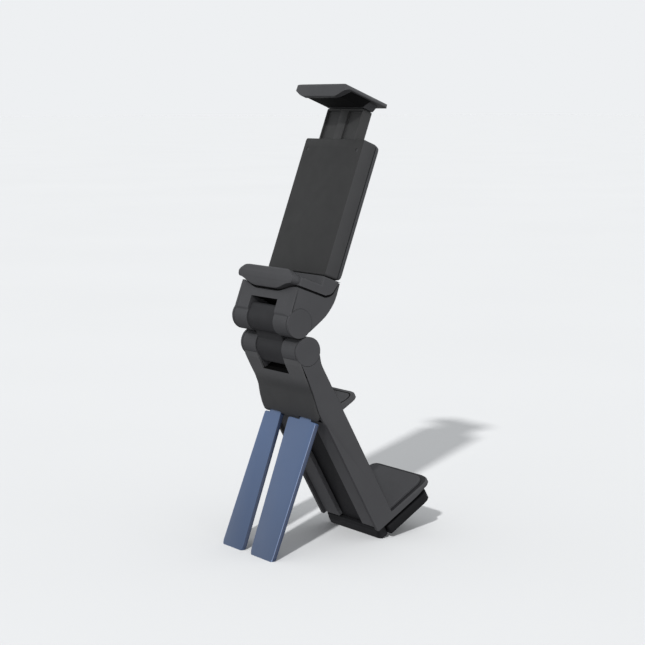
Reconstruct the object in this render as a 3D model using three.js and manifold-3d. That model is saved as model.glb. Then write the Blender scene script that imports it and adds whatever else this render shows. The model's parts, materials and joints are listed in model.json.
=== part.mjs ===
// Folding travel phone stand. A spring clip at the foot of a leaning arm grips a tray or a shelf edge, two
// fold-out legs turn the arm into an A-frame, and a link with two parallel friction hinges carries a
// telescoping phone clamp.
// Millimetres, +X to the right, +Y to the back, +Z up. The origin is under the middle of the stand.
import * as THREE from 'three';
import { mergeVertices } from 'three/addons/utils/BufferGeometryUtils.js';
import Module from 'manifold-3d';

const wasm = await Module();
wasm.setup();

// ---------------------------------------------------------------- driving dimensions
const GAP = 0.3;                     // clearance between neighbouring pieces
const HALF_WIDTH = 20.5;             // half of the body's width
const ARM_LEAN = 29.2;               // degrees, the arm's top leans forward
const HEAD_LEAN = 20.75;             // degrees, the clamp leans back
const LEG_LEAN = 22.4;               // degrees, the legs' feet stand forward
const AXIS_HEIGHT = 88.2;            // lower hinge axis above the ground
const HINGE_PITCH = 13.0;            // between the two hinge axes
const LINK_LEAN = 20.25;             // degrees, the link leans forward
const BARREL_R = 6.2;                // both hinge barrels
const PIN_R = 2.0;                   // both hinge pins
const EYE_R = 5.9;                   // the link's round ends
const EYE_HEEL = 5.5;                // how far the square front of an eye goes past its axis
const EYE_REACH = 7.3;               // from an eye's axis to its square corner
const LINK_HALF = 8.5;               // half of the link's width
const FORK_HALF = 9.5;               // half of the slot between the ears
const WALL = 1.6;                    // casing wall

// the arm, seen from its side: y is depth and z runs along it, from the lower hinge axis
const ARM_FRONT = -7.5;
const ARM_BACK = 3.0;
const ARM_FOOT = -92.0;
const SHELF_TOP = -89.1;
const SHELF_END = 29.1;
const SHELF_CORNER = 5.5;
const RECESS_FLOOR = -6.2;           // where the folded legs lie
const CHANNEL_HALF = 8.2;            // half of the slot down the arm's front
const RAIL_FRONT = -3.85;
const RAIL_BACK = -2.2;
const CLIP_TRAVEL = 30;
const TAB_Z = [-34.2, -32.0];
const JAW_Z = [-97.9, -93.5];        // the clip's moving plate

// the legs
const LEG_PIVOT = { y: -7.5, z: -28.66 };
const LEG_PIN_R = 1.0;
const LEG_KNUCKLE_R = 2.0;
const LEG_THICK = 2.0;
const LEG_TOP = -3.3;                // where the blade starts, below the pivot
const LEG_OUTER = 18.65;

// the clamp head, seen from its side: z runs along it, from the upper hinge axis
const HEAD_FRONT = -6.7;
const SLAB_Y = [5.2, 12.3];
const SLAB_Z = [22.8, 83.2];
const COVER_BACK = 14.8;
const SLIDE_Y = [6.2, 11.1];
const SLIDE_HALF = 12.6;
const SLIDE_Z = [42, 97.3];
const TOP_JAW_Z = [100.2, 102.7];
const PLATFORM_Z = 18.6;
const LIP_FRONT = -9.9;

const rad = THREE.MathUtils.degToRad;

// ---------------------------------------------------------------- materials
const finish = (color, roughness, metalness = 0) =>
  new THREE.MeshStandardMaterial({ color, roughness, metalness });
const charcoal = finish('#47474a', 0.62);
const black = finish('#232326', 0.7);
const slate = finish('#5b6d8c', 0.55);
const rubber = finish('#2b2b2d', 0.9);
const steel = finish('#b4b6b8', 0.3, 1);
const acetal = finish('#232325', 0.5);

// ---------------------------------------------------------------- solids
/** A closed three.js geometry as a manifold solid. */
function solidOf(geometry) {
  geometry.deleteAttribute('normal');
  geometry.deleteAttribute('uv');
  const welded = mergeVertices(geometry, 1e-5);
  return new wasm.Manifold(new wasm.Mesh({
    numProp: 3,
    vertProperties: Float32Array.from(welded.attributes.position.array),
    triVerts: Uint32Array.from(welded.index.array),
  }));
}

/** A manifold solid as a named mesh. */
function meshOf(name, solid, material) {
  const { vertProperties, triVerts } = solid.getMesh();
  const geometry = new THREE.BufferGeometry();
  geometry.setAttribute('position', new THREE.BufferAttribute(vertProperties, 3));
  geometry.setIndex(new THREE.BufferAttribute(triVerts, 1));
  geometry.computeVertexNormals();
  const mesh = new THREE.Mesh(geometry, material);
  mesh.name = name;
  return mesh;
}

const join = (...solids) => solids.reduce((a, b) => a.add(b));
const cut = (solid, ...tools) => tools.reduce((a, b) => a.subtract(b), solid);

function block([x0, x1], [y0, y1], [z0, z1]) {
  const geometry = new THREE.BoxGeometry(x1 - x0, y1 - y0, z1 - z0);
  return solidOf(geometry.translate((x0 + x1) / 2, (y0 + y1) / 2, (z0 + z1) / 2));
}

/** A rod along X. */
function rod(radius, [x0, x1], y = 0, z = 0, sides = 40) {
  const geometry = new THREE.CylinderGeometry(radius, radius, x1 - x0, sides).rotateZ(Math.PI / 2);
  return solidOf(geometry.translate((x0 + x1) / 2, y, z));
}

/** A rod along Y, a second radius makes it a cone. */
function stud(radius, [y0, y1], x, z, sides = 20) {
  const geometry = new THREE.CylinderGeometry(radius, radius, y1 - y0, sides);
  return solidOf(geometry.translate(x, (y0 + y1) / 2, z));
}

/** A closed outline from corners [a, b, r], each rounded over r or nearly half of its shorter edge. */
function outline(corners) {
  const shape = new THREE.Shape();
  const count = corners.length;
  const at = (i) => new THREE.Vector2(corners[(i + count) % count][0], corners[(i + count) % count][1]);
  corners.forEach(([a, b, r = 0], i) => {
    const round = Math.min(r, 0.48 * at(i).distanceTo(at(i - 1)), 0.48 * at(i).distanceTo(at(i + 1)));
    const start = at(i - 1).sub(at(i)).setLength(round).add(at(i));
    const end = at(i + 1).sub(at(i)).setLength(round).add(at(i));
    if (i === 0) shape.moveTo(start.x, start.y);
    else shape.lineTo(start.x, start.y);
    if (round > 0) shape.quadraticCurveTo(a, b, end.x, end.y);
  });
  shape.closePath();
  return shape;
}

const SIDE_VIEW = new THREE.Matrix4().makeBasis(
  new THREE.Vector3(0, 1, 0), new THREE.Vector3(0, 0, 1), new THREE.Vector3(1, 0, 0));

/** An outline in y and z, drawn out along X, its end edges rounded by soft. */
function side(corners, [x0, x1], soft = 0) {
  const geometry = new THREE.ExtrudeGeometry(outline(corners), {
    depth: x1 - x0 - 2 * soft, curveSegments: 4, bevelEnabled: soft > 0,
    bevelThickness: soft, bevelSize: soft, bevelOffset: -soft, bevelSegments: 2,
  });
  return solidOf(geometry.applyMatrix4(SIDE_VIEW).translate(x0 + soft, 0, 0));
}

/** An outline in x and z, drawn out along Y, its end edges rounded by soft. */
function front(corners, [y0, y1], soft = 0) {
  const geometry = new THREE.ExtrudeGeometry(outline(corners), {
    depth: y1 - y0 - 2 * soft, curveSegments: 4, bevelEnabled: soft > 0,
    bevelThickness: soft, bevelSize: soft, bevelOffset: -soft, bevelSegments: 2,
  });
  return solidOf(geometry.rotateX(Math.PI / 2).translate(0, y1 - soft, 0));
}

/** An outline in x and y, drawn out along Z, its end edges rounded by soft. */
function plan(corners, [z0, z1], soft = 0) {
  const geometry = new THREE.ExtrudeGeometry(outline(corners), {
    depth: z1 - z0 - 2 * soft, curveSegments: 4, bevelEnabled: soft > 0,
    bevelThickness: soft, bevelSize: soft, bevelOffset: -soft, bevelSegments: 2,
  });
  return solidOf(geometry.translate(0, 0, z0 + soft));
}

/** The corners of a rectangle, each rounded over r. */
const rectangle = ([a0, a1], [b0, b1], r = 0) => [[a0, b0, r], [a1, b0, r], [a1, b1, r], [a0, b1, r]];

/** A solid through convex outlines in x and y, each { z, shape }, lowest first, with equal point counts. */
function loft(sections) {
  const rings = sections.map(({ z, shape }) => shape.getPoints(4).slice(0, -1).map((p) => [p.x, p.y, z]));
  const count = rings[0].length;
  const index = [];
  for (let k = 0; k + 1 < rings.length; k++) {
    for (let i = 0; i < count; i++) {
      const [a, b] = [k * count + i, k * count + (i + 1) % count];
      index.push(a, b, b + count, a, b + count, a + count);
    }
  }
  const top = (rings.length - 1) * count;
  for (let i = 1; i + 1 < count; i++) {
    index.push(0, i + 1, i);
    index.push(top, top + i, top + i + 1);
  }
  const geometry = new THREE.BufferGeometry();
  geometry.setAttribute('position', new THREE.Float32BufferAttribute(rings.flat(2), 3));
  geometry.setIndex(index);
  return solidOf(geometry);
}

/** A coil spring along Z with closed ends. */
function coil(radius, wire, turns, [z0, z1], x, y) {
  class Helix extends THREE.Curve {
    getPoint(t, target = new THREE.Vector3()) {
      const angle = 2 * Math.PI * turns * t;
      return target.set(x + radius * Math.cos(angle), y + radius * Math.sin(angle), z0 + (z1 - z0) * t);
    }
  }
  const section = new THREE.Shape();
  section.absarc(0, 0, wire / 2, 0, 2 * Math.PI);
  const geometry = new THREE.ExtrudeGeometry(section, {
    steps: turns * 8, curveSegments: 3, extrudePath: new Helix(), bevelEnabled: false,
  });
  return solidOf(geometry);
}

/** A countersunk screw that goes in from the back; its head's face is at y. */
function screw(y, length, x, z) {
  const body = join(stud(1.9, [y - 0.7, y], x, z, 16), stud(0.8, [y - length, y - 0.5], x, z, 8));
  return cut(body, stud(0.8, [y - 0.4, y + 1], x, z, 6));
}

// ---------------------------------------------------------------- the frame's moving groups
const stand = new THREE.Group();
const tilted = (degrees, y, z, parent) => {
  const group = new THREE.Group();
  group.position.set(0, y, z);
  group.rotation.x = rad(degrees);
  parent.add(group);
  return group;
};
const arm = tilted(ARM_LEAN, 0, AXIS_HEIGHT, stand);
const legs = tilted(-LEG_LEAN - ARM_LEAN, LEG_PIVOT.y, LEG_PIVOT.z, arm);
const link = tilted(LINK_LEAN, 0, AXIS_HEIGHT, stand);
const head = tilted(-HEAD_LEAN - LINK_LEAN, 0, HINGE_PITCH, link);

// ---------------------------------------------------------------- hinge hardware, the same on both axes
/** The pin, the two end caps and the two friction washers of one hinge. */
function addHinge(group, name) {
  group.add(meshOf(`${name}_hinge_pin`, rod(PIN_R, [-18.6, 18.6], 0, 0, 24), steel));
  for (const [hand, sign] of [['left', -1], ['right', 1]]) {
    const span = (a, b) => (sign > 0 ? [a, b] : [-b, -a]);
    const cap = rod(BARREL_R - 0.15, span(HALF_WIDTH - 1.2, HALF_WIDTH));
    group.add(meshOf(`${name}_cap_${hand}`, cap, charcoal));
    const washer = cut(rod(5.4, span(8.8, 9.2), 0, 0, 32), rod(PIN_R + GAP, span(8, 10), 0, 0, 24));
    group.add(meshOf(`${name}_washer_${hand}`, washer, acetal));
  }
}

/** What both forks lose: the pin's bore, the slot for the link's eye and the seats of the caps. */
function forkCuts() {
  const seat = (span) => rod(BARREL_R + 0.15, span);
  return [
    rod(PIN_R + GAP, [-19, 19], 0, 0, 24),
    rod(EYE_REACH + 0.4, [-FORK_HALF, FORK_HALF], 0, 0, 48),
    seat([HALF_WIDTH - 1.5, HALF_WIDTH + 1]),
    seat([-HALF_WIDTH - 1, -HALF_WIDTH + 1.5]),
  ];
}

// ---------------------------------------------------------------- arm
const FULL = [-HALF_WIDTH, HALF_WIDTH];
const SPRING_X = 14.9;
const SPRING_Z = [-53.8, -22.6];
const armScrews = [[-14.6, -12.8], [14.6, -12.8]];
/** The front edge of the arm's side walls, from the barrel down to the foot. */
const SEAM = [[-5.6, 0], [-6.0, -10, 1], [-6.4, -16, 3], [-8.3, -26, 1.5], [-8.3, -29.6, 1.5],
  [ARM_FRONT, -33.8, 1], [ARM_FRONT, ARM_FOOT, 0.8]];

function armShell() {
  const body = side([...SEAM, [ARM_BACK, ARM_FOOT], [ARM_BACK, -8.4, 2], [4.3, -4.6], [0, 0]], FULL);
  const shelf = plan([[-HALF_WIDTH, 0], [HALF_WIDTH, 0], [HALF_WIDTH, SHELF_END, SHELF_CORNER],
    [-HALF_WIDTH, SHELF_END, SHELF_CORNER]], [ARM_FOOT, SHELF_TOP]);
  const inside = [-HALF_WIDTH + WALL, HALF_WIDTH - WALL];
  const cavity = block(inside, [-20, ARM_BACK - WALL], [SHELF_TOP, -17.5]);
  const coverRoom = block(inside, [-20, RAIL_FRONT], [ARM_FOOT - 1, SHELF_TOP + 1]);
  const railExit = block([-12.6, 12.6], [-20, RAIL_BACK + GAP], [ARM_FOOT - 1, SHELF_TOP + 1]);
  const linkRoom = block([-FORK_HALF, FORK_HALF], [-20, 1.2], [-8.4, 0]);
  const rearRoom = block([-FORK_HALF, FORK_HALF], [0, 20], [-4.6, 6]);
  const shell = cut(join(body, shelf, rod(BARREL_R, FULL, 0, 0, 48)), cavity, coverRoom, railExit,
    linkRoom, rearRoom, ...forkCuts());
  const pivot = LEG_PIVOT;
  const wallFace = ARM_BACK - WALL + 0.2;
  const bossOutline = [[pivot.y - 0.9, pivot.z + 3.4, 0.8], [pivot.y - 0.9, pivot.z - 1.4, 0.8],
    [pivot.y + 2.2, pivot.z - 2.6], [wallFace, pivot.z - 2.6], [wallFace, pivot.z + 3.4]];
  const bosses = join(side(bossOutline, [-6.2, 6.2]), side(bossOutline, [17.1, 19.5]),
    side(bossOutline, [-19.5, -17.1]));
  const springPosts = join(...[-SPRING_X, SPRING_X].map((x) => stud(1.1, [-2.6, ARM_BACK - 1], x, -21)));
  const tabSlot = block([-8, 8], [0, 20], [TAB_Z[0] - CLIP_TRAVEL - 1.2, TAB_Z[1] + 1.2]);
  const stripSlot = block([-15.5, 15.5], [-4.6, -3.6], [-30.5, -25.9]);
  const holes = armScrews.map(([x, z]) => join(stud(1.1, [-3.4, 20], x, z, 10),
    stud(2.2, [ARM_BACK - 0.9, 20], x, z, 16)));
  const legBore = rod(LEG_PIN_R + GAP, [-18.2, 18.2], pivot.y, pivot.z, 16);
  return cut(join(shell, bosses, springPosts), legBore, tabSlot, stripSlot, ...holes);
}

/** The bulging front cover over the top of the legs, its front edges rounded. */
function chinCover() {
  const profile = [
    [-9.4, -30.4, 2.4], [-10.1, -30.1, 2.8], [-10.5, -29.2, 3], [-10.5, -27.6, 3], [-10.2, -25.4, 3],
    [-9.3, -22, 2.8], [-7.9, -18.4, 2.5], [-7.3, -16.6, 2.3], [-7.0, -14.6, 2.2], [-7.0, -8, 2.2],
    [-7.2, -2.4, 2], [-6.8, -1.6, 1.6],
  ];
  const skin = loft(profile.map(([y, z, r]) => ({
    z, shape: outline([[-HALF_WIDTH, y, r], [HALF_WIDTH, y, r], [HALF_WIDTH, 4, 0.5], [-HALF_WIDTH, 4, 0.5]]),
  })));
  const behindSeam = side([...SEAM.map(([y, z, r]) => [y - GAP, z, r]), [20, ARM_FOOT], [20, 0]], [-30, 30]);
  const window = block([-FORK_HALF, FORK_HALF], [-20, 0], [-8.2, 2]);
  const notches = [[6.7, 15.3], [-15.3, -6.7]].map((span) => block(span, [-20, 0], [-40, -28.6]));
  const knuckleRoom = [[6.7, 15.3], [-15.3, -6.7]].map((span) => rod(LEG_KNUCKLE_R + 0.35, span, LEG_PIVOT.y,
    LEG_PIVOT.z));
  const barrelRoom = rod(BARREL_R + GAP, [-30, 30], 0, 0, 48);
  const corners = front([[-HALF_WIDTH, 2], [HALF_WIDTH, 2], [HALF_WIDTH, -30.4, 4.2],
    [-HALF_WIDTH, -30.4, 4.2]], [-20, 8]);
  return cut(skin.intersect(corners), behindSeam, window, barrelRoom, ...notches, ...knuckleRoom);
}

/** The lower front cover: the floor of the legs' recess, split by the clip's channel. */
function frontCover() {
  const inner = HALF_WIDTH - WALL - GAP;
  const plate = block([-inner, inner], [RECESS_FLOOR, RAIL_FRONT - GAP], [ARM_FOOT + 0.4, -33.6]);
  const channel = front(rectangle([-CHANNEL_HALF, CHANNEL_HALF], [-100, -38.5], 1.5), [-20, 20]);
  return cut(plate, channel);
}

const SHELF_PAD_INSET = 0.5;
function shelfPad() {
  const edge = HALF_WIDTH - SHELF_PAD_INSET;
  const corner = SHELF_CORNER - SHELF_PAD_INSET;
  return plan([[-edge, ARM_BACK + GAP], [edge, ARM_BACK + GAP], [edge, SHELF_END - SHELF_PAD_INSET, corner],
    [-edge, SHELF_END - SHELF_PAD_INSET, corner]], [SHELF_TOP + 0.05, -87.9]);
}

arm.add(
  meshOf('arm_shell', armShell(), charcoal),
  meshOf('chin_cover', chinCover(), charcoal),
  meshOf('front_cover', frontCover(), charcoal),
  meshOf('shelf_pad', shelfPad(), rubber),
);
addHinge(arm, 'lower');
armScrews.forEach(([x, z], i) => {
  arm.add(meshOf(`arm_screw_${i + 1}`, screw(ARM_BACK - 0.1, 5.8, x, z), steel));
});
arm.add(
  meshOf('leg_pin', rod(LEG_PIN_R, [-17.9, 17.9], LEG_PIVOT.y, LEG_PIVOT.z, 16), steel),
  meshOf('leg_detent_strip', block([-15.2, 15.2], [-4.3, -3.9], [-30.2, -26.2]), steel),
);

// ---------------------------------------------------------------- legs
/** One leg: a flat blade with a knuckle, its foot cut level with the ground. x is from the middle out. */
function leg(sign, innerTop, innerFoot, knuckle) {
  const groundBelow = AXIS_HEIGHT + LEG_PIVOT.y * Math.sin(rad(ARM_LEAN))
    + LEG_PIVOT.z * Math.cos(rad(ARM_LEAN));
  const foot = -groundBelow / Math.cos(rad(LEG_LEAN));
  const corners = [[innerTop, LEG_TOP, 1.2], [LEG_OUTER, LEG_TOP, 1.2], [LEG_OUTER, foot - 1, 2.6],
    [innerFoot, foot - 1, 3.2]];
  const half = LEG_THICK / 2;
  const blade = front(corners.map(([x, z, r]) => [sign * x, z, r]), [-half, half], 0.3);
  const rise = half * Math.tan(rad(LEG_LEAN));
  const below = foot - 9;
  const ground = side([[-5, foot - 5 * rise], [5, foot + 5 * rise], [5, below], [-5, below]], [-30, 30]);
  const span = sign > 0 ? knuckle : [-knuckle[1], -knuckle[0]];
  const neck = block(span, [-half, half], [LEG_TOP - 2, 0]);
  const bore = rod(LEG_PIN_R + GAP, [-30, 30], 0, 0, 16);
  return cut(join(cut(blade, ground), neck, rod(LEG_KNUCKLE_R, span, 0, 0, 24)), bore);
}
legs.add(
  meshOf('leg_left', leg(-1, 6.9, 3.4, [7, 15]), slate),
  meshOf('leg_right', leg(1, -1.1, 2.4, [7, 15]), slate),
);

// ---------------------------------------------------------------- tray clip
function clipRail() {
  const strip = block([-12.2, 12.2], [RAIL_FRONT, RAIL_BACK], [JAW_Z[0] + 1.6, -31.6]);
  const wings = block([-17.4, 17.4], [RAIL_FRONT, RAIL_BACK], [-57, -54.2]);
  const hooks = join(...[-SPRING_X, SPRING_X].map((x) => stud(1.1, [RAIL_FRONT, 0.6], x, -55.6)));
  const neck = block([-7.6, 7.6], [RAIL_BACK - 0.5, ARM_BACK + 0.2], TAB_Z);
  return join(strip, wings, hooks, neck);
}

function clipTab() {
  const reach = 14.8;
  const tab = plan([[-18, 3.5], [18, 3.5], [18, reach, 4.5], [-18, reach, 4.5]], TAB_Z, 0.5);
  const root = block([-18, 18], [3.5, 4.9], [TAB_Z[0] + 0.3, -27.2]);
  return join(tab, root);
}

function clipFoot() {
  const groundLine = (y) => (-AXIS_HEIGHT - y * Math.sin(rad(ARM_LEAN))) / Math.cos(rad(ARM_LEAN));
  const flatBack = (-AXIS_HEIGHT - JAW_Z[0] * Math.cos(rad(ARM_LEAN))) / Math.sin(rad(ARM_LEAN));
  const body = side([[-6.0, -92.4], [-6.1, -93.9], [-6.9, -94.6], [-6.9, groundLine(-6.9)],
    [flatBack, JAW_Z[0]],
    [-2.3, JAW_Z[0]], [-2.3, -92.4]], [-18.5, 18.5]);
  const corners = plan(rectangle([-18.5, 18.5], [-6.9, 4], 2), [-120, 0]);
  const pocket = block([-12.5, 12.5], [RAIL_FRONT - GAP, 0], [JAW_Z[0] + 1.3, 0]);
  return cut(body.intersect(corners), pocket);
}

function clipJaw() {
  return plan([[-HALF_WIDTH, -1.9, 1], [HALF_WIDTH, -1.9, 1], [HALF_WIDTH, 25.5, 5],
    [-HALF_WIDTH, 25.5, 5]], JAW_Z, 0.4);
}

arm.add(
  meshOf('clip_rail', clipRail(), black),
  meshOf('clip_tab', clipTab(), charcoal),
  meshOf('clip_foot', clipFoot(), charcoal),
  meshOf('clip_jaw', clipJaw(), black),
  meshOf('clip_jaw_pad', plan(rectangle([-18.6, 18.6], [2.4, 23.8], 3.5), [JAW_Z[1] + 0.05, -92.5]), rubber),
  meshOf('clip_spring_left', coil(1.5, 0.6, 10, SPRING_Z, -SPRING_X, -0.9), steel),
  meshOf('clip_spring_right', coil(1.5, 0.6, 10, SPRING_Z, SPRING_X, -0.9), steel),
);

// ---------------------------------------------------------------- link
/** Corners [y, z, r] turned about the X axis by degrees, then lifted. */
function turned(corners, degrees, lift = 0) {
  const [c, s] = [Math.cos(rad(degrees)), Math.sin(rad(degrees))];
  return corners.map(([y, z, r]) => [y * c - z * s, y * s + z * c + lift, r]);
}

/** The link: its eyes are round behind and square in front, so that its front stands flush in both forks. */
function linkBody() {
  const width = [-LINK_HALF, LINK_HALF];
  const waist = block(width, [-3.6, 3.6], [0, HINGE_PITCH]);
  const eyes = join(rod(EYE_R, width, 0, 0, 48), rod(EYE_R, width, 0, HINGE_PITCH, 48));
  const below = [[-EYE_R, 0], [-EYE_R, -EYE_HEEL, 2], [0, -EYE_HEEL], [0, 0]];
  const above = [[-EYE_R, 0], [0, 0], [0, EYE_HEEL], [-EYE_R, EYE_HEEL, 2]];
  const heelLow = side(turned(below, ARM_LEAN - LINK_LEAN), width);
  const heelHigh = side(turned(above, -HEAD_LEAN - LINK_LEAN, HINGE_PITCH), width);
  const bores = [0, HINGE_PITCH].map((z) => rod(PIN_R + 0.1, [-20, 20], 0, z, 24));
  return cut(join(waist, eyes, heelLow, heelHigh), ...bores);
}
link.add(meshOf('link', linkBody(), charcoal));

// ---------------------------------------------------------------- clamp head
/** The room above the seam between the head and the lower jaw, low in the middle and high at the sides. */
const SEAM_MIDDLE = 11.2;
const SEAM_RISE = 2.9;
function aboveSeam(lift) {
  const points = [];
  for (let x = -22; x <= 22; x += 2) {
    points.push([x, SEAM_MIDDLE + lift + SEAM_RISE * THREE.MathUtils.smoothstep(Math.abs(x), 7, 19)]);
  }
  return front([...points, [22, 60], [-22, 60]], [-40, 40]);
}
const REAR_CURVE = [[9.0, 0], [9.0, 13.9, 1], [12.6, 15.6, 3], [14.1, 20.6, 1]];

function headShell() {
  const body = side([[-5.9, 0], [-6.1, 1.3], [HEAD_FRONT, 2.1, 0.6], [HEAD_FRONT, 22], [15.0, 22],
    [15.0, 14.2, 3],
    [12.6, 7.2, 3], [4.4, -4.3], [0, 0]], FULL);
  const crown = plan([[-HALF_WIDTH, 16], [-HALF_WIDTH, -6.1, 0.8], [-16.5, HEAD_FRONT, 3],
    [16.5, HEAD_FRONT, 3],
    [HALF_WIDTH, -6.1, 0.8], [HALF_WIDTH, 16]], [-10, 40]);
  const taper = front([[-HALF_WIDTH, -10], [HALF_WIDTH, -10], [HALF_WIDTH, 2], [19.6, 22], [-19.6, 22],
    [-HALF_WIDTH, 2]], [-40, 40]);
  const jawRoom = aboveSeam(0).intersect(side([[-40, 0], ...REAR_CURVE, [14.1, 60], [-40, 60]], [-40, 40]));
  const window = block([-FORK_HALF, FORK_HALF], [-20, 1], [-20, 7.7]);
  const rearRoom = block([-FORK_HALF, FORK_HALF], [0, 30], [-20, 4.8]);
  const shadowLines = [[-21, -19.9], [19.9, 21]].map((span) => block(span, [-5.75, -5.2], [3.4, 15]));
  const solid = join(body.intersect(crown), rod(BARREL_R, FULL, 0, 0, 48)).intersect(taper);
  return cut(solid, jawRoom, window, rearRoom, ...shadowLines, ...forkCuts());
}

const halfJaw = [[9, 10, 3], [16.4, 13.6, 2.5], [19.5, 15.6, 1.4], [19.5, 17.8, 1.2], [15.4, 20.7, 3]];
const jawOutline = [...halfJaw, ...halfJaw.map(([x, z, r]) => [-x, z, r]).reverse()];
function lowerJaw() {
  const tray = side([[-7.2, 10.2, 0.8], [-9.0, 13.2, 2], [LIP_FRONT, 16.6, 1.5], [LIP_FRONT, 20.7, 1],
    [-7.4, 20.7, 0.6], [-6.4, PLATFORM_Z, 1], [8.6, PLATFORM_Z], [8.6, 10.2]], [-30, 30]);
  const riser = side([[-6, 12], [12.4, 12], [14.9, 17], [14.9, SLAB_Z[0] - 0.3], [SLAB_Y[0], SLAB_Z[0] - 0.3],
    [SLAB_Y[0], PLATFORM_Z], [-6, PLATFORM_Z]], FULL, 0.6);
  const rearLimit = side([[-40, 0], ...REAR_CURVE.map(([y, z, r]) => [y - 0.7, z + 0.9, r]), [13.5, 22.4],
    [14.9, 22.4], [14.9, 60], [-40, 60]], [-40, 40]);
  const whole = join(tray.intersect(front(jawOutline, [-40, 40])), riser);
  return whole.intersect(aboveSeam(0.9)).intersect(rearLimit);
}

/** The black gasket in the seam. */
function neckGasket() {
  return cut(aboveSeam(0.15), aboveSeam(0.75)).intersect(block([-19.2, 19.2], [-5.4, 8.2], [0, 40]));
}

function clampHousing() {
  const body = front(rectangle(FULL, SLAB_Z, 1.2), SLAB_Y, 0.4);
  const slideRoom = block([-SLIDE_HALF - GAP, SLIDE_HALF + GAP], [SLIDE_Y[0] - GAP, SLIDE_Y[1] + GAP],
    [SLAB_Z[0] + 3, 100]);
  const sideRooms = [[-18.6, -14.6], [14.6, 18.6]].map((span) => block(span, [7, 20], [28, 78]));
  const bosses = coverScrews.map(([x, z]) => stud(2.4, [7, SLAB_Y[1]], x, z));
  const holes = coverScrews.map(([x, z]) => stud(1.1, [8.5, 20], x, z, 10));
  const dimples = [-17.2, 17.2].map((x) => stud(0.9, [0, SLAB_Y[0] + 0.5], x, 78.2, 16));
  const stripRoom = block([-5.5, 5.5], [SLIDE_Y[1], SLAB_Y[1] + 1], [62, 79]);
  const stopHole = stud(1.5, [SLIDE_Y[1], SLAB_Y[1] + 1], 0, 60, 16);
  return cut(join(cut(body, slideRoom, ...sideRooms, stripRoom), ...bosses), ...holes, ...dimples, stopHole);
}

const coverScrews = [[-16.6, 29.5], [16.6, 29.5], [-16.6, 76.5], [16.6, 76.5]];
function clampCover() {
  const body = front(rectangle(FULL, SLAB_Z, 2.5), [SLAB_Y[1] - 2, COVER_BACK], 1.4);
  const keep = block([-30, 30], [SLAB_Y[1] + GAP, 40], [0, 100]);
  const holes = coverScrews.map(([x, z]) => join(stud(1.1, [0, 30], x, z, 10),
    stud(2.2, [COVER_BACK - 1.1, 30], x, z, 16)));
  return cut(body.intersect(keep), ...holes);
}

function slideBar() {
  const bar = front(rectangle([-SLIDE_HALF, SLIDE_HALF], SLIDE_Z, 0.8), SLIDE_Y);
  const panels = [[-11.9, -2.7], [2.7, 11.9]].map((span) => block(span, [0, SLIDE_Y[0] + 1.1], [52, 96.4]));
  const stopGroove = block([-1.6, 1.6], [SLIDE_Y[1] - 1.6, 20], [46, 81]);
  const notches = [];
  for (let z = 50; z < 84; z += 2) {
    const outside = SLIDE_Y[1] + 1;
    notches.push(side([[SLIDE_Y[1] - 0.6, z + 0.5], [outside, z - 1.1], [outside, z + 2.1]], [3, 6]));
  }
  return cut(bar, ...panels, stopGroove, ...notches);
}

function topJaw() {
  const cap = side([[LIP_FRONT, 96.7, 0.8], [LIP_FRONT, TOP_JAW_Z[1], 1.2], [14.4, TOP_JAW_Z[1], 2.2],
    [14.4, TOP_JAW_Z[0], 1], [-6.6, TOP_JAW_Z[0]], [-7.8, 96.7, 0.6]], [-30, 30]);
  const fromFront = front([[-18.8, 100.4, 0.8], [-18.8, TOP_JAW_Z[1], 1.6], [18.8, TOP_JAW_Z[1], 1.6],
    [18.8, 100.4, 0.8], [11.6, 96.7, 2.5], [-11.6, 96.7, 2.5]], [-40, 40]);
  const corners = plan(rectangle([-18.8, 18.8], [LIP_FRONT, 14.4], 3), [0, 200]);
  const slideEnd = SLIDE_Z[1] + GAP;
  const gusset = front([[-15.4, 101], [15.4, 101], [SLIDE_HALF, slideEnd], [-SLIDE_HALF, slideEnd]],
    [5.6, 11.3]);
  return join(cap.intersect(fromFront).intersect(corners), gusset);
}

/** The black grip under the top jaw. */
function topJawPad() {
  const top = TOP_JAW_Z[0] - 0.05;
  return front([[-17.2, top], [17.2, top], [12.4, 97.5, 1], [-12.4, 97.5, 1]], [-6.2, 5.3]);
}

/** The leaf behind the slide's notches that holds the jaw where it is set. */
const detentStrip = () => block([-5.2, 5.2], [SLIDE_Y[1] + 0.55, SLAB_Y[1] - 0.2], [62.4, 78.6]);

head.add(
  meshOf('head_shell', headShell(), charcoal),
  meshOf('neck_gasket', neckGasket(), black),
  meshOf('lower_jaw', lowerJaw(), charcoal),
  meshOf('lower_jaw_pad', block([-15, 15], [-5.2, 4.6], [PLATFORM_Z + 0.05, PLATFORM_Z + 0.65]), rubber),
  meshOf('clamp_housing', clampHousing(), charcoal),
  meshOf('clamp_back_cover', clampCover(), charcoal),
  meshOf('slide_bar', slideBar(), charcoal),
  meshOf('top_jaw', topJaw(), charcoal),
  meshOf('top_jaw_pad', topJawPad(), rubber),
  meshOf('detent_strip', detentStrip(), steel),
  meshOf('slide_stop_screw', stud(1.2, [SLIDE_Y[1] - 1.3, SLAB_Y[1] - 0.2], 0, 60, 16), steel),
);
addHinge(head, 'upper');
coverScrews.forEach(([x, z], i) => {
  head.add(meshOf(`cover_screw_${i + 1}`, screw(COVER_BACK - 0.1, 5.8, x, z), steel));
});

// ---------------------------------------------------------------- origin under the middle of the stand
stand.updateMatrixWorld(true);
const extent = new THREE.Box3().setFromObject(stand, true);
stand.position.y = -(extent.min.y + extent.max.y) / 2;
stand.position.z = -extent.min.z;
stand.updateMatrixWorld(true);

export default stand;
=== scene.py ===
"""Folding travel phone stand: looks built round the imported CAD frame. Metres, +X right, +Y back, +Z up."""
import json
import math

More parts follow.
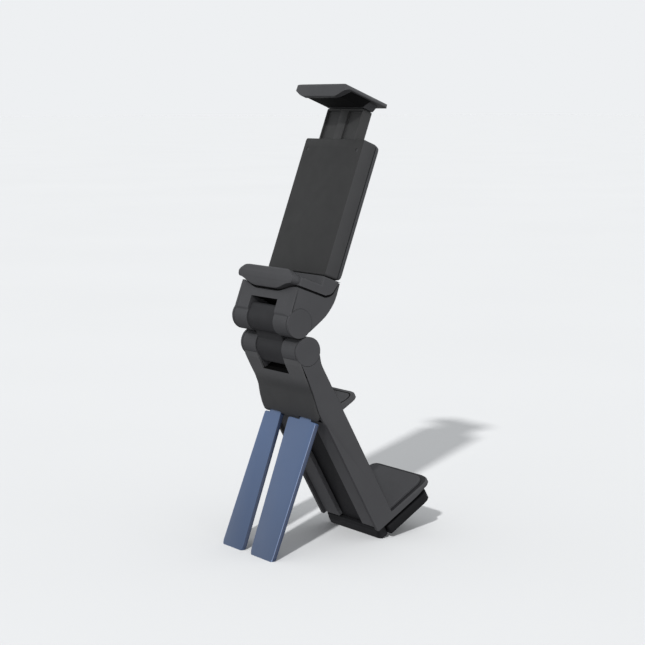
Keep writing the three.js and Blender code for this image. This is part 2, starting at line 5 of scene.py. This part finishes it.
import bmesh
import bpy
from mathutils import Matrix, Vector


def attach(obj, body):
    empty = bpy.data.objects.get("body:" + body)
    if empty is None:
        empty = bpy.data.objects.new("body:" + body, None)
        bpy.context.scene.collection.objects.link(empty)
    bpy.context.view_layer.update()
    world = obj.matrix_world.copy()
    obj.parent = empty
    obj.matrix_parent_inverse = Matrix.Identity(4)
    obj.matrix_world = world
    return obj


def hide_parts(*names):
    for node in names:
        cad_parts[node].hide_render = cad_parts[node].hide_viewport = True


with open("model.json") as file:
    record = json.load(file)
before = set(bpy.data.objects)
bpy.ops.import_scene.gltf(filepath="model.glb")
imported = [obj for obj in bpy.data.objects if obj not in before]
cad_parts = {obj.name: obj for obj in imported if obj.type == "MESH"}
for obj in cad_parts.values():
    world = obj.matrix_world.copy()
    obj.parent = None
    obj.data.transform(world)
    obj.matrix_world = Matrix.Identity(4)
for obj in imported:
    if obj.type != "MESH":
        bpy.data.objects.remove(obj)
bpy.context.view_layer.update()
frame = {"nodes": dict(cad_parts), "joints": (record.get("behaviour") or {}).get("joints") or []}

NODES = frame["nodes"]
MM = 0.001


# ---------------------------------------------------------------- where the parts' own axes are
def joint(name):
    return next(j for j in frame["joints"] if j["name"] == name)


class Axes:
    """A tilted part's own axes: y is its depth, z runs along it, in millimetres from its hinge."""

    def __init__(self, origin, up):
        self.origin = Vector(origin)
        self.up = Vector(up).normalized()
        self.back = Vector((1, 0, 0)).cross(self.up) * -1

    def point(self, x, y, z):
        return self.origin + (Vector((x, 0, 0)) + self.back * y + self.up * z) * MM

    def local(self, point):
        """The depth and the height along the part of a point, in millimetres."""
        offset = (Vector(point) - self.origin) / MM
        return offset.dot(self.back), offset.dot(self.up)

    def at_radius(self, point, radius):
        """The point carried straight in or out until it is a radius away from the hinge's axis."""
        depth, along = self.local(point)
        reach = math.hypot(depth, along)
        return self.point(point.x / MM, depth * radius / reach, along * radius / reach)


LOWER = Vector(joint("lower_hinge")["pos_m"])
UPPER = Vector(joint("upper_hinge")["pos_m"])
ARM = Axes(LOWER, -Vector(joint("clip_slide")["axis"]))
HEAD = Axes(UPPER, Vector(joint("clamp_slide")["axis"]))


# ---------------------------------------------------------------- materials
NOISE_SPAN = (0.3, 0.7)     # nearly all of a noise's values lie between these
MOTTLE_SCALE = 38.0         # noise scales: the larger, the finer
WAVE_SCALE = 90.0
POLISH_SCALE = 160.0
DRAWN_SCALE = 400.0


def two_stops(ramp, positions, colours):
    """Gives a colour ramp its two stops."""
    for i in range(2):
        ramp.color_ramp.elements[i].position = positions[i]
        ramp.color_ramp.elements[i].color = (*colours[i], 1)


class Nodes:
    """A short way to wire a material."""

    def __init__(self, name):
        self.material = bpy.data.materials.new(name)
        self.material.use_nodes = True
        self.tree = self.material.node_tree
        self.tree.nodes.clear()
        out = self.tree.nodes.new("ShaderNodeOutputMaterial")
        self.shader = self.tree.nodes.new("ShaderNodeBsdfPrincipled")
        self.tree.links.new(self.shader.outputs[0], out.inputs["Surface"])
        self.place = self.tree.nodes.new("ShaderNodeTexCoord").outputs["Object"]

    def node(self, kind, **settings):
        """A new node; each setting is one of its properties, or else the name of an input."""
        made = self.tree.nodes.new(kind)
        for key, value in settings.items():
            if hasattr(made, key):
                setattr(made, key, value)
            else:
                made.inputs[key].default_value = value
        return made

    def link(self, source, target):
        self.tree.links.new(source, target)

    def noise(self, scale, detail=3.0, rough=0.55):
        made = self.node("ShaderNodeTexNoise", Scale=scale, Detail=detail, Roughness=rough)
        self.link(self.place, made.inputs["Vector"])
        return made.outputs["Fac"]

    def mapped(self, value, source, target, **settings):
        """Carries a value from one range over to another."""
        made = self.node("ShaderNodeMapRange", **settings)
        self.link(value, made.inputs["Value"])
        for end, number in zip(("From Min", "From Max", "To Min", "To Max"), (*source, *target)):
            made.inputs[end].default_value = number
        return made.outputs["Result"]

    def tint(self, value, dark, light):
        made = self.node("ShaderNodeValToRGB")
        two_stops(made, NOISE_SPAN, (dark, light))
        self.link(value, made.inputs["Fac"])
        return made.outputs["Color"]

    def faded(self, colour, low, high, share):
        """Darkens a colour to a share of itself between two heights in the piece, as a painted shade."""
        split = self.node("ShaderNodeSeparateXYZ")
        self.link(self.place, split.inputs[0])
        reach = self.mapped(split.outputs["Z"], (low, high), (share, 1.0), interpolation_type="SMOOTHSTEP")
        made = self.node("ShaderNodeVectorMath", operation="SCALE")
        self.link(colour, made.inputs[0])
        self.link(reach, made.inputs["Scale"])
        return made.outputs["Vector"]

    def bump(self, height, distance, strength, onto=None):
        made = self.node("ShaderNodeBump", Strength=strength, Distance=distance)
        self.link(height, made.inputs["Height"])
        if onto is not None:
            self.link(onto, made.inputs["Normal"])
        return made.outputs["Normal"]

    def finish(self, colour, roughness, normal, **values):
        """Wires the shader; the values are the same all over, and so are set on its own sockets."""
        self.link(colour, self.shader.inputs["Base Color"])
        self.link(roughness, self.shader.inputs["Roughness"])
        self.link(normal, self.shader.inputs["Normal"])
        for key, value in values.items():
            self.shader.inputs[key.replace("_", " ")].default_value = value
        return self.material


def linear(level):
    """A screen level of 0 to 255 as linear light."""
    level = level / 255
    return level / 12.92 if level <= 0.04045 else ((level + 0.055) / 1.055) ** 2.4


def rgb(r, g, b):
    return tuple(linear(c) for c in (r, g, b))


def moulded(name, colour, rough, grain=2600.0, depth=0.00003, mottle=0.06, specular=0.2, painted_shade=None):
    """Injection-moulded plastic or rubber with a fine spark-eroded grain.

    The last argument, (low, high, share), is a painted shade: it darkens the colour to a share of itself
    from one height down to another.
    """
    m = Nodes(name)
    dark = tuple(c * (1 - mottle) for c in colour)
    light = tuple(c * (1 + mottle) for c in colour)
    base = m.tint(m.noise(MOTTLE_SCALE, detail=5.0), dark, light)
    if painted_shade:
        base = m.faded(base, *painted_shade)
    polish = m.mapped(m.noise(POLISH_SCALE, detail=4.0), NOISE_SPAN, (rough - 0.05, rough + 0.06))
    fine = m.bump(m.noise(grain, detail=2.0, rough=0.6), distance=depth, strength=0.55)
    wavy = m.bump(m.noise(WAVE_SCALE), distance=0.0001, strength=0.12, onto=fine)
    return m.finish(base, polish, wavy, Specular_IOR_Level=specular)


def drawn_metal(name, colour, rough):
    """Metal with fine lines drawn along it."""
    m = Nodes(name)
    mapping = m.node("ShaderNodeMapping", Scale=(1.0, 1.0, 40.0))
    m.link(m.place, mapping.inputs["Vector"])
    stretched = m.node("ShaderNodeTexNoise", Scale=DRAWN_SCALE, Detail=4.0)
    m.link(mapping.outputs[0], stretched.inputs["Vector"])
    lines = stretched.outputs["Fac"]
    base = m.tint(lines, tuple(c * 0.8 for c in colour), colour)
    polish = m.mapped(lines, NOISE_SPAN, (rough - 0.06, rough + 0.1))
    return m.finish(base, polish, m.bump(lines, distance=0.00002, strength=0.3), Metallic=1.0)


CHIN_PAINTED_SHADE = (0.0700, 0.0775, 0.5)   # painted shade on the chin's lower part: from and to a height in metres, and what is left of the colour
# Painted shade: the legs darken towards their feet.
LEG_PAINTED_SHADE = (-0.005, 0.062, 0.68)
GLOSSY = {"grain": 1800.0, "depth": 0.00001, "specular": 0.5}
COARSE = {"grain": 1500.0, "depth": 0.00005}

CHARCOAL = moulded("charcoal_plastic", rgb(66, 66, 68), 0.55)
INNER = moulded("link_plastic", rgb(42, 42, 44), 0.62)
# The chin cover is a lighter copy of the charcoal as painted light, darkened towards its bottom as painted
# shade.
CHIN_PAINTED_LIGHT_AND_SHADE = moulded("chin_painted_light_and_shade", rgb(81, 81, 82), 0.55, painted_shade=CHIN_PAINTED_SHADE)
# Painted light: the front cover is a lighter copy of the charcoal plastic.
FRONT_COVER_LIGHT = moulded("front_cover_painted_light", rgb(80, 80, 82), 0.55)
# Painted shade: the clamp housing's front panel is a darker copy of its band's plastic.
HOUSING_FRONT_SHADE = moulded("housing_front_painted_shade", rgb(49, 49, 49), 0.58)
BAND = moulded("band_plastic", rgb(61, 61, 62), 0.55)
JAW = moulded("jaw_plastic", rgb(68, 68, 70), 0.55)
SLIDE = moulded("slide_plastic", rgb(60, 60, 60), 0.55)
FOOT = moulded("foot_plastic", rgb(30, 30, 32), 0.6, specular=0.15)
# Near-black painted shade for the floors of the hinge slots and the groove round the tab's inlay.
RECESS_SHADE = moulded("recess_painted_shade", rgb(10, 10, 10), 0.8, specular=0.05)
BLACK = moulded("black_plastic", rgb(18, 18, 20), 0.6, specular=0.15)
# Near-black for the clip rail, and a painted shade on the floor of the shelf's groove.
RAIL_AND_GROOVE_SHADE = moulded("rail_and_groove_shade", rgb(38, 38, 40), 0.6, specular=0.15)
SLATE = moulded("slate_plastic", rgb(74, 95, 130), 0.36, mottle=0.04, painted_shade=LEG_PAINTED_SHADE, **GLOSSY)
# Painted shade on the legs' narrow sides, and a painted highlight on their long outer edges.
SLATE_SIDE_SHADE = moulded("slate_side_painted_shade", rgb(52, 64, 90), 0.36, **GLOSSY)
SLATE_EDGE_HIGHLIGHT = moulded("slate_edge_painted_highlight", rgb(138, 154, 188), 0.3, **GLOSSY)
RUBBER = moulded("grip_rubber", rgb(66, 66, 68), 0.82, **COARSE)
GRIP = moulded("black_rubber", rgb(14, 14, 15), 0.85, specular=0.15, **COARSE)
STEEL = drawn_metal("drawn_steel", rgb(190, 192, 195), 0.28)
ACETAL = moulded("acetal", rgb(30, 30, 31), 0.4)


# ---------------------------------------------------------------- pieces made from the frame's solids
SAME_PLACE = 0.00002        # corners closer than this are one, in metres
SAME_PLANE = 1.0            # faces that meet at less than this many degrees are one
SMOOTH_ANGLE = 32           # degrees; a fold sharper than this shows as an edge
RIM = 1.2                   # how round the shelf's rim is, in millimetres
RIM_SEGMENTS = 5


def smooth(obj):
    for polygon in obj.data.polygons:
        polygon.use_smooth = True
    obj.data.set_sharp_from_angle(angle=math.radians(SMOOTH_ANGLE))


def rounded(obj, name, width, segments, weight="bevel_weight_edge"):
    """A bevel on the edges that carry a weight."""
    bevel = obj.modifiers.new(name, "BEVEL")
    bevel.width = width * MM
    bevel.segments = segments
    bevel.limit_method = "WEIGHT"
    bevel.edge_weight = weight
    bevel.use_clamp_overlap = True
    bevel.harden_normals = True
    bevel.miter_outer = "MITER_ARC"


def merge_flats(bm, slices, split):
    """Leaves one face for each flat, cut at the slices; split then cuts up those with many corners."""
    bmesh.ops.remove_doubles(bm, verts=bm.verts, dist=SAME_PLACE)
    bmesh.ops.dissolve_limit(bm, angle_limit=math.radians(SAME_PLANE), verts=bm.verts, edges=bm.edges)
    for x in slices:
        everything = bm.verts[:] + bm.edges[:] + bm.faces[:]
        bmesh.ops.bisect_plane(bm, geom=everything, plane_co=(x * MM, 0, 0), plane_no=(1, 0, 0))
    if split:
        bmesh.ops.triangulate(bm, faces=[face for face in bm.faces if len(face.verts) > 4])


def middle(edge):
    return (edge.verts[0].co + edge.verts[1].co) / 2


def weigh_edges(bm, sharp, soft, rim):
    """Gives each sharp edge its share of the rounding, and the rim's edges a weight of their own."""
    weight = bm.edges.layers.float.new("bevel_weight_edge")
    for edge in bm.edges:
        if len(edge.link_faces) == 2 and edge.calc_face_angle() > math.radians(sharp):
            edge[weight] = soft(middle(edge)) if soft else 1.0
    if rim is None:
        return
    rim_weight = bm.edges.layers.float.new("rim_weight")
    for edge in bm.edges:
        if edge[weight] and rim(middle(edge)):
            edge[weight] = 0.0
            edge[rim_weight] = 1.0


def first_material(face):
    return 0


def refined(node, body, materials, slot, width, segments=3, sharp=35, soft=None, rim=None, reshape=None,
            choose=first_material, slices=(), split=False, tag="skin"):
    """A copy of a CAD solid with its flats merged and its edges rounded, as a moulded part has them.

    The edges that turn by more than sharp degrees are rounded by width, in millimetres. soft(point) gives
    how much of it an edge takes, and rim(point) says which edges are rounded by RIM instead. reshape(point)
    gives a corner's new place, and choose(face) a face's place in the materials. Points are in metres, in
    the frame's axes. slices are extra cuts across x, and split cuts up the faces with many corners.
    """
    mesh = NODES[node].data.copy()
    obj = bpy.data.objects.new(f"{node}_{tag}", mesh)
    bpy.context.scene.collection.objects.link(obj)
    obj.matrix_world = NODES[node].matrix_world
    bm = bmesh.new()
    bm.from_mesh(mesh)
    merge_flats(bm, slices, split)
    if reshape:
        for vert in bm.verts:
            vert.co = reshape(vert.co)
    weigh_edges(bm, sharp, soft, rim)
    for face in bm.faces:
        face.material_index = choose(face)
    mesh.materials.clear()
    for material in materials:
        mesh.materials.append(material)
    bm.to_mesh(mesh)
    bm.free()
    smooth(obj)
    if rim:
        rounded(obj, "rim", RIM, RIM_SEGMENTS, "rim_weight")
    rounded(obj, "soft_edges", width, segments)
    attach(obj, body)
    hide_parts(node)


# ---------------------------------------------------------------- what is special about a few skins
# Millimetres; depths and heights are in the arm's axes for the arm and the clip, else in the head's.
HAIR = 0.1                  # keeps a test clear of the face that it stops at
ON_FACE = 0.3               # a point is on a face when it is within this of it

BARREL = 6.2                # the hinge barrels' radius
BARREL_EDGE = 0.2           # the chin cover's edges this near to the barrel stay sharp
CHIN_REACH = 0.4            # its corners this near are carried onto the barrel
CHIN_LAP = 0.06             # and end this far inside it
CHIN_BACK = ((-2.0, 0.5, 1.2), (-2.9, 0.45, -0.6))  # above a height, others go this far back and up

FORK_HALF = 9.5             # half of the slot that takes the link
ARM_FORK = (-8.6, 7)        # the arm's slot, from its floor to above the barrel
ARM_FORK_FRONT = -6.9       # a face in front of this is outside the slot
HEAD_FORK_TOP = 7.9         # the head's slot is below this
HEAD_FORK_FRONT = -6.5
LINK_HALF = 8.5             # half of the link's width
LINK_FULL = 9.2             # and of its skin's, which leaves only a hairline beside the forks
LINK_SIDE = 8               # a corner further out than this is on the link's side
CAP_OUT = 0.2               # how much wider a hinge cap's skin is, all round
CAP_CORE = 3                # what is nearer to the cap's axis stays where it is

HEAD_GROOVE_X = 19.5        # the groove beside the head's front lies further out than this,
HEAD_GROOVE_DEPTH = (-5.9, -5.1)  # between these depths
HEAD_GROOVE_FOOT = 3.3      # and above this
HEAD_FOLD_FRONT = -5.5      # the fold over the barrels is in front of this
HEAD_FOLD = (0.5, 2.6)      # and between these heights
LIP_FRONT = -6.9            # the lower jaw's lip is in front of this

SLAB_FRONT = 5.2            # the clamp housing's front face
DIMPLE_X = 15               # its two dimples lie further out than this
DIMPLE_SPAN = (76, 80)      # and between these heights
DIMPLE_DEPTH = (0.3, 0.6)   # where the solid has their floors, behind the front face
DIMPLE_FLOOR = 0.2          # and where the skin has them

JAW_TOP = 102.7             # the top jaw's upper face
JAW_HALF = 18.8             # half of its width
JAW_ROUND = (4.4, 2.6)      # how far its rounded upper corners reach, across and down
JAW_CUTS = (-17.2, -16, -14.4, 14.4, 16, 17.2)  # extra cuts, for the round corners to bend at

SHELF_TOP = -89.1           # the shelf's upper face
SHELF_ROOT = 10             # the shelf sticks out from the arm behind this
SHELF_SIDE = 15             # its rim is further out than this
SHELF_END = 20              # or behind this
GROOVE = 1.7                # the width of the groove round its pad
GROOVE_FLOOR = 0.12         # the groove's floor over the shelf's face
PAD_SINK = 0.2              # how far the pad's underside goes into the shelf

LEG_SIDE = 0.9              # a leg's face is a side where its normal points across by more than this
LEG_RIM = 0.3               # and may be part of its edge above this
LEG_RIM_RISE = 0.45         # where its normal doesn't point up or down by more than this
LEG_OUTSIDE = 17.3          # and it is further out than this


def within(value, span):
    return span[0] < value < span[1]


def closed_top(point):
    """Carries the chin cover's top edge onto the barrel, so that the two read as one moulding."""
    depth, along = ARM.local(point)
    if math.hypot(depth, along) < BARREL + CHIN_REACH:
        return ARM.at_radius(point, BARREL - CHIN_LAP)
    for height, back, up in CHIN_BACK:
        if along > height:
            return ARM.point(point.x / MM, depth + back, along + up)
    return point


def off_barrel(point):
    """The chin cover's edges are rounded, except where they meet the barrel."""
    return 0.0 if math.hypot(*ARM.local(point)) < BARREL + BARREL_EDGE else 1.0


def shelf_rim(point):
    """The edges round the free end of the shelf."""
    depth, along = ARM.local(point)
    return (depth > SHELF_ROOT and along < SHELF_TOP + ON_FACE
            and (abs(point.x / MM) > SHELF_SIDE or depth > SHELF_END))


def arm_fork(face):
    """The floor of the arm's slot is in the second material, a near-black painted shade, but not the slot's
    cheeks.
    """
    point = face.calc_center_median()
    depth, along = ARM.local(point)
    return int(abs(point.x / MM) < FORK_HALF - HAIR and within(along, ARM_FORK) and depth > ARM_FORK_FRONT)


def head_fork(face):
    """The same for the head's slot."""
    point = face.calc_center_median()
    depth, along = HEAD.local(point)
    return int(abs(point.x / MM) < FORK_HALF - HAIR and along < HEAD_FORK_TOP and depth > HEAD_FORK_FRONT)


def fuller_link(point):
    """Brings the link's sides out to the forks."""
    if abs(point.x / MM) > LINK_SIDE:
        return Vector((point.x * LINK_FULL / LINK_HALF, point.y, point.z))
    return point


def wider_cap(point):
    """Closes most of the gap round a hinge cap, so that only a hairline is left."""
    axes = ARM if (point - LOWER).yz.length < (point - UPPER).yz.length else HEAD
    reach = math.hypot(*axes.local(point))
    return axes.at_radius(point, reach + CAP_OUT) if reach > CAP_CORE else point


def head_edge(point):
    """The groove beside the head's front stays crisp, and the fold over the barrels is drawn out soft."""
    depth, along = HEAD.local(point)
    beside = abs(point.x / MM) > HEAD_GROOVE_X and along > HEAD_GROOVE_FOOT
    if beside and within(depth, HEAD_GROOVE_DEPTH):
        return 0.1
    return 1.0 if depth < HEAD_FOLD_FRONT and within(along, HEAD_FOLD) else 0.4


def lip_edge(point):
    """The lower jaw's lip is well rounded, its other edges only a little."""
    return 1.0 if HEAD.local(point)[0] < LIP_FRONT else 0.35


def rounder_jaw(point):
    """Rounds the top jaw's upper corners, as seen from the front."""
    depth, along = HEAD.local(point)
    x = point.x / MM
    out = (abs(x) - JAW_HALF) / JAW_ROUND[0] + 1
    up = (along - JAW_TOP) / JAW_ROUND[1] + 1
    reach = math.hypot(out, up)
    if min(out, up) < 0 or reach < 1:
        return point
    x = math.copysign(JAW_HALF - JAW_ROUND[0] * (1 - out / reach), x)
    return HEAD.point(x, depth, JAW_TOP - JAW_ROUND[1] * (1 - up / reach))


def front_panel(face):
    """The clamp housing's front panel is darker than the band round it, a painted shade on the face turned
    to the front.
    """
    return int(HEAD.local(face.calc_center_median())[0] < SLAB_FRONT + HAIR)


def shallow_dimple(point):
    """Makes the clamp housing's two dimples shallower."""
    depth, along = HEAD.local(point)
    x = point.x / MM
    if abs(x) > DIMPLE_X and within(along, DIMPLE_SPAN):
        if SLAB_FRONT + DIMPLE_DEPTH[0] < depth < SLAB_FRONT + DIMPLE_DEPTH[1]:
            return HEAD.point(x, SLAB_FRONT + DIMPLE_FLOOR, along)
    return point


def drawn_in(point):
    """The shelf's pad, its outline drawn in to leave a groove beside the rim."""
    depth, along = ARM.local(point)
    x = point.x / MM
    if along < SHELF_TOP + ON_FACE:
        along = SHELF_TOP - PAD_SINK
    return ARM.point(x - math.copysign(GROOVE, x), depth - (GROOVE if depth > SHELF_ROOT else 0), along)


def groove_floor(point):
    """The pad's full outline, sunk to be the floor of the groove, which is coloured dark as a painted shade.
    """
    depth, along = ARM.local(point)
    lower, upper = SHELF_TOP - ON_FACE, SHELF_TOP + GROOVE_FLOOR
    return ARM.point(point.x / MM, depth, upper if along > SHELF_TOP + ON_FACE else lower)


def leg_faces(face):
    """A leg's narrow sides get a painted shade, and its long outer edges a painted highlight."""
    across = abs(face.normal.x)
    if across > LEG_SIDE:
        return 1
    outer = abs(face.calc_center_median().x / MM) > LEG_OUTSIDE
    return 2 if outer and across > LEG_RIM and abs(face.normal.z) < LEG_RIM_RISE else 0


PLAIN = [CHARCOAL, RECESS_SHADE]
LEG = [SLATE, SLATE_SIDE_SHADE, SLATE_EDGE_HIGHLIGHT]
# node, body, materials, finish, how round its edges are, and what else is special about it
SKINS = [
    ("arm_shell", "arm", PLAIN, "charcoal", 0.4, {"rim": shelf_rim, "choose": arm_fork}),
    ("chin_cover", "arm", [CHIN_PAINTED_LIGHT_AND_SHADE, RECESS_SHADE], "charcoal", 0.4,
     {"reshape": closed_top, "soft": off_barrel, "choose": arm_fork}),
    ("front_cover", "arm", [FRONT_COVER_LIGHT], "charcoal", 0.3, {}),
    ("shelf_pad", "arm", [RUBBER], "rubber", 0.3, {"reshape": drawn_in}),
    ("lower_cap_left", "arm", PLAIN, "charcoal", 0.12, {"reshape": wider_cap}),
    ("lower_cap_right", "arm", PLAIN, "charcoal", 0.12, {"reshape": wider_cap}),
    ("clip_rail", "clip", [RAIL_AND_GROOVE_SHADE], "black", 0.25, {}),
    ("clip_tab", "clip", PLAIN, "charcoal", 0.8, {}),
    ("clip_foot", "clip", [FOOT], "charcoal", 0.4, {}),
    ("clip_jaw", "clip", [BLACK], "black", 0.9, {}),
    ("clip_jaw_pad", "clip", [GRIP], "rubber", 0.2, {}),
    ("leg_left", "leg_left", LEG, "slate", 0.12, {"choose": leg_faces}),
    ("leg_right", "leg_right", LEG, "slate", 0.12, {"choose": leg_faces}),
    ("link", "link", [INNER], "charcoal", 0.4, {"sharp": 25, "reshape": fuller_link}),
    ("head_shell", "head", PLAIN, "charcoal", 1.0, {"soft": head_edge, "choose": head_fork}),
    ("neck_gasket", "head", [BLACK], "black", 0.1, {}),
    ("lower_jaw", "head", [JAW], "charcoal", 1.1, {"soft": lip_edge, "segments": 4}),
    ("lower_jaw_pad", "head", [GRIP], "rubber", 0.2, {}),
    ("clamp_housing", "head", [BAND, HOUSING_FRONT_SHADE], "charcoal", 0.3,
     {"reshape": shallow_dimple, "choose": front_panel}),
    ("clamp_back_cover", "head", PLAIN, "charcoal", 0.3, {}),
    ("upper_cap_left", "head", PLAIN, "charcoal", 0.12, {"reshape": wider_cap}),
    ("upper_cap_right", "head", PLAIN, "charcoal", 0.12, {"reshape": wider_cap}),
    ("slide_bar", "slide", [SLIDE], "charcoal", 0.2, {"split": True}),
    ("top_jaw", "slide", [JAW], "charcoal", 0.6, {"reshape": rounder_jaw, "slices": JAW_CUTS}),
    ("top_jaw_pad", "slide", [GRIP], "rubber", 0.25, {}),
]
for node, body, materials, slot, width, extra in SKINS:
    refined(node, body, materials, slot, width, **extra)
# The groove round the shelf's pad gets a dark floor: a painted shade.
refined("shelf_pad", "arm", [RAIL_AND_GROOVE_SHADE], "rubber", 0.05, reshape=groove_floor, tag="groove")

SKINNED = [row[0] for row in SKINS]
for node, obj in NODES.items():
    if node not in SKINNED:
        obj.data.materials.clear()
        obj.data.materials.append(ACETAL if "washer" in node else STEEL)


# ---------------------------------------------------------------- the inlay on top of the clip tab
TAB_TOP = -32.0             # the clip tab's upper face, in the arm's axes
TAB_SINK = 0.4              # how far the plates on it go into it
CORNER_STEPS = 8
PLATE_EDGE = 0.12           # how round their edges are


def rounded_outline(across, depths, radius):
    """The points round an oblong whose four corners are quarter circles."""
    (x0, x1), (y0, y1) = across, depths
    middle_x, middle_y = (x0 + x1) / 2, (y0 + y1) / 2
    ring = []
    for corner_x, corner_y, start in ((x1, y1, 0), (x0, y1, 90), (x0, y0, 180), (x1, y0, 270)):
        centre_x = corner_x - math.copysign(radius, corner_x - middle_x)
        centre_y = corner_y - math.copysign(radius, corner_y - middle_y)
        for step in range(CORNER_STEPS + 1):
            angle = math.radians(start + step * 90 / CORNER_STEPS)
            ring.append((centre_x + radius * math.cos(angle), centre_y + radius * math.sin(angle)))
    return ring


def tab_plate(name, body, material, across, depths, radius, proud):
    """A thin plate in the clip tab's upper face, standing a little proud of it."""
    bm = bmesh.new()
    ring = rounded_outline(across, depths, radius)
    levels = (TAB_TOP - TAB_SINK, TAB_TOP + proud)
    layers = [[bm.verts.new(ARM.point(x, y, z)) for x, y in ring] for z in levels]
    bm.faces.new(layers[1])
    bm.faces.new(reversed(layers[0]))
    for i in range(len(ring)):
        k = (i + 1) % len(ring)
        bm.faces.new((layers[0][i], layers[0][k], layers[1][k], layers[1][i]))
    bmesh.ops.recalc_face_normals(bm, faces=bm.faces)
    mesh = bpy.data.meshes.new(name)
    bm.to_mesh(mesh)
    bm.free()
    mesh.materials.append(material)
    obj = bpy.data.objects.new(name, mesh)
    bpy.context.scene.collection.objects.link(obj)
    smooth(obj)
    bevel = obj.modifiers.new("soft_edges", "BEVEL")
    bevel.width = PLATE_EDGE * MM
    bevel.segments = 2
    bevel.limit_method = "ANGLE"
    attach(obj, body)


# A near-black plate under the inlay, showing as a dark ring round it: a painted shade for the groove.
tab_plate("tab_groove_shade", "clip", RECESS_SHADE, across=(-16.6, 16.6), depths=(5.2, 13.4), radius=3.4, proud=0.03)
tab_plate("tab_inlay", "clip", CHARCOAL, across=(-16.0, 16.0), depths=(5.8, 12.8), radius=2.9, proud=0.15)


# ---------------------------------------------------------------- floor, light and camera
FLOOR_SIZE = 60             # metres
PAPER = (rgb(188.3, 189.0, 189.6), rgb(189.8, 190.5, 191.1))
DOME_ABOVE = (0.855, 0.871, 0.888)
DOME_BELOW = (0.34, 0.34, 0.35)
DOME_TURN = (0.3, 0.48)     # between them the dome brightens; 0 is straight down and 1 straight up
KEY = (35.6, 37.0)          # the main light's azimuth and elevation
KEY_SOFTNESS = 2.5          # degrees


def floor():
    """Pale paper that takes shadows, but throws no light back on the object."""
    m = Nodes("floor_paper")
    m.link(m.tint(m.noise(3.0, detail=2.0), *PAPER), m.shader.inputs["Base Color"])
    m.shader.inputs["Roughness"].default_value = 0.95
    m.shader.inputs["Specular IOR Level"].default_value = 0.0
    bpy.ops.mesh.primitive_plane_add(size=FLOOR_SIZE)
    plane = bpy.context.object
    plane.name = "floor"
    plane.data.materials.append(m.material)
    plane.visible_diffuse = False
    plane.visible_glossy = False
    return plane


def dome():
    """A studio dome: even light from above, fading to a dim floor bounce from below."""
    made = bpy.data.worlds.new("studio")
    made.use_nodes = True
    tree = made.node_tree
    place = tree.nodes.new("ShaderNodeTexCoord")
    split = tree.nodes.new("ShaderNodeSeparateXYZ")
    ramp = tree.nodes.new("ShaderNodeValToRGB")
    reach = tree.nodes.new("ShaderNodeMapRange")
    reach.inputs["From Min"].default_value = -1.0
    tree.links.new(place.outputs["Generated"], split.inputs[0])
    tree.links.new(split.outputs["Z"], reach.inputs["Value"])
    tree.links.new(reach.outputs["Result"], ramp.inputs["Fac"])
    tree.links.new(ramp.outputs["Color"], tree.nodes["Background"].inputs["Color"])
    two_stops(ramp, DOME_TURN, (DOME_BELOW, DOME_ABOVE))
    bpy.context.scene.world = made


def direction(azimuth, elevation):
    """Where something stands as seen from the object; azimuth 0 is in front, 90 to the right."""
    a, e = math.radians(azimuth), math.radians(elevation)
    return Vector((math.sin(a) * math.cos(e), -math.cos(a) * math.cos(e), math.sin(e)))


def turned(name, data, towards):
    """A lamp or camera whose back points towards a direction, so that it looks the other way."""
    obj = bpy.data.objects.new(name, data)
    obj.rotation_mode = "QUATERNION"
    obj.rotation_quaternion = towards.to_track_quat("Z", "Y")
    bpy.context.scene.collection.objects.link(obj)
    return obj


def sun(name, azimuth, elevation, strength, softness):
    """A light from far off, its shadows softened by an angle in degrees."""
    data = bpy.data.lights.new(name, "SUN")
    data.energy = strength
    data.angle = math.radians(softness)
    return turned(name, data, direction(azimuth, elevation))


def camera(azimuth, elevation, lens, aim, distance):
    data = bpy.data.cameras.new("camera")
    data.sensor_width = 36
    data.lens = lens
    data.clip_start = 0.05
    data.clip_end = 200
    back = direction(azimuth, elevation)
    made = turned("camera", data, back)
    made.location = Vector(aim) + back * distance
    bpy.context.scene.camera = made


bpy.context.scene.view_settings.view_transform = "Standard"
lit_paper = bpy.data.collections.new("lit_paper")
lit_paper.objects.link(floor())
dome()
sun("key", *KEY, strength=1.10, softness=KEY_SOFTNESS)
sun("side_fill", azimuth=98.0, elevation=8.0, strength=0.55, softness=70.0)
paper_key = sun("paper_key", *KEY, strength=3.0, softness=KEY_SOFTNESS)
paper_key.light_linking.receiver_collection = lit_paper
camera(azimuth=52.48, elevation=7.80, lens=87.71, aim=(-0.01023, 0.00489, 0.09472), distance=0.7006)
